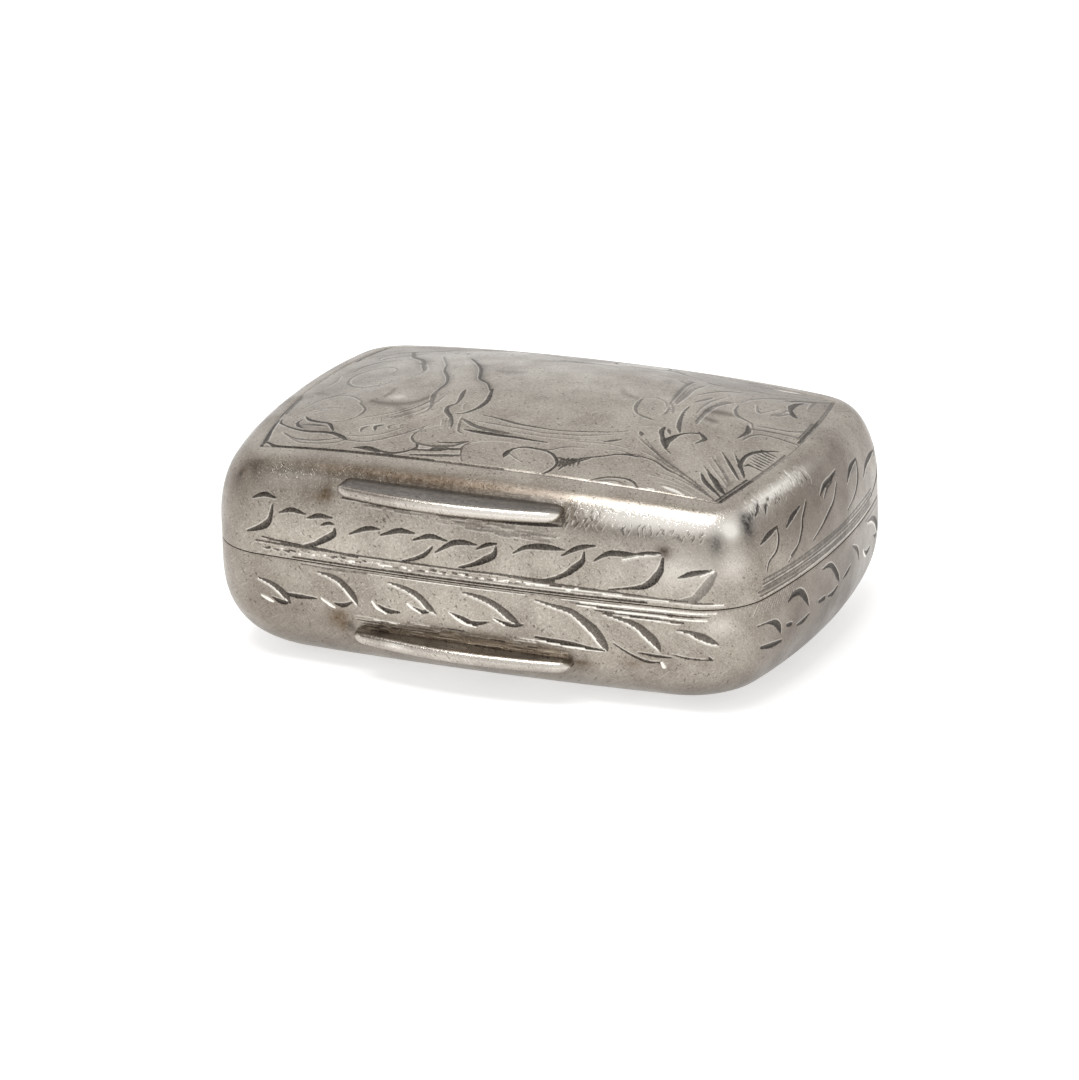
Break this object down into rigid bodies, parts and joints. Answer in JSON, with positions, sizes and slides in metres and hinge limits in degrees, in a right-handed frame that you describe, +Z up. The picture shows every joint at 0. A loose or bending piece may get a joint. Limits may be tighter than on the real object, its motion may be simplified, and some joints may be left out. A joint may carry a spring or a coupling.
{
  "type": "vinaigrette box",
  "caption": "Cushion-shaped silver scent case: domed lid on a back hinge, pierced gilt grille on its own hinge over a sponge, and a slim thumb bar on the front of lid and base.",
  "frame": {"origin": "middle of the flat underside, below the middle of the case", "axes": "+X along the case to the viewer's right, -Y to the front with the two thumb bars, +Y to the hinge, +Z up"},
  "size_m": [0.034, 0.0252, 0.0138],
  "materials": {
    "aged_silver": "aged sterling silver, warm grey, softly worn, with brown tarnish in the hollows",
    "worn_silver": "sterling silver rubbed bright by handling",
    "gilt_silver": "gilt silver, satin",
    "natural_sponge": "dry natural sponge"
  },
  "bodies": {
    "case": {"base_shell": "aged_silver", "base_rim": "aged_silver", "grille_ledge": "aged_silver", "base_hinge_bearer": "aged_silver", "base_knuckle_left": "aged_silver", "base_knuckle_centre": "aged_silver", "base_knuckle_right": "aged_silver", "base_thumb_bar": "worn_silver", "lid_hinge_pin": "aged_silver", "grille_rail": "aged_silver", "grille_rail_knuckle_left": "aged_silver", "grille_rail_knuckle_right": "aged_silver", "grille_hinge_pin": "aged_silver", "sponge": "natural_sponge"},
    "lid": {"lid_shell": "aged_silver", "lid_hinge_bearer": "aged_silver", "lid_knuckle_left": "aged_silver", "lid_knuckle_right": "aged_silver", "lid_thumb_bar": "worn_silver"},
    "grille_frame": {"grille": "gilt_silver", "grille_knuckle": "gilt_silver", "grille_lift_tab": "gilt_silver"}
  },
  "joints": [
    {"name": "lid_hinge", "type": "hinge", "parent": "case", "child": "lid", "pos_m": [0, 0.01165, 0.0065], "axis": [-1, 0, 0], "range_deg": [0, 115]},
    {"name": "grille_hinge", "type": "hinge", "parent": "case", "child": "grille_frame", "pos_m": [0, 0.0094, 0.00585], "axis": [-1, 0, 0], "range_deg": [0, 82]}
  ],
  "couplings": [
    {"joint": "grille_hinge", "follows": "lid_hinge", "ratio": 0.7}
  ]
}
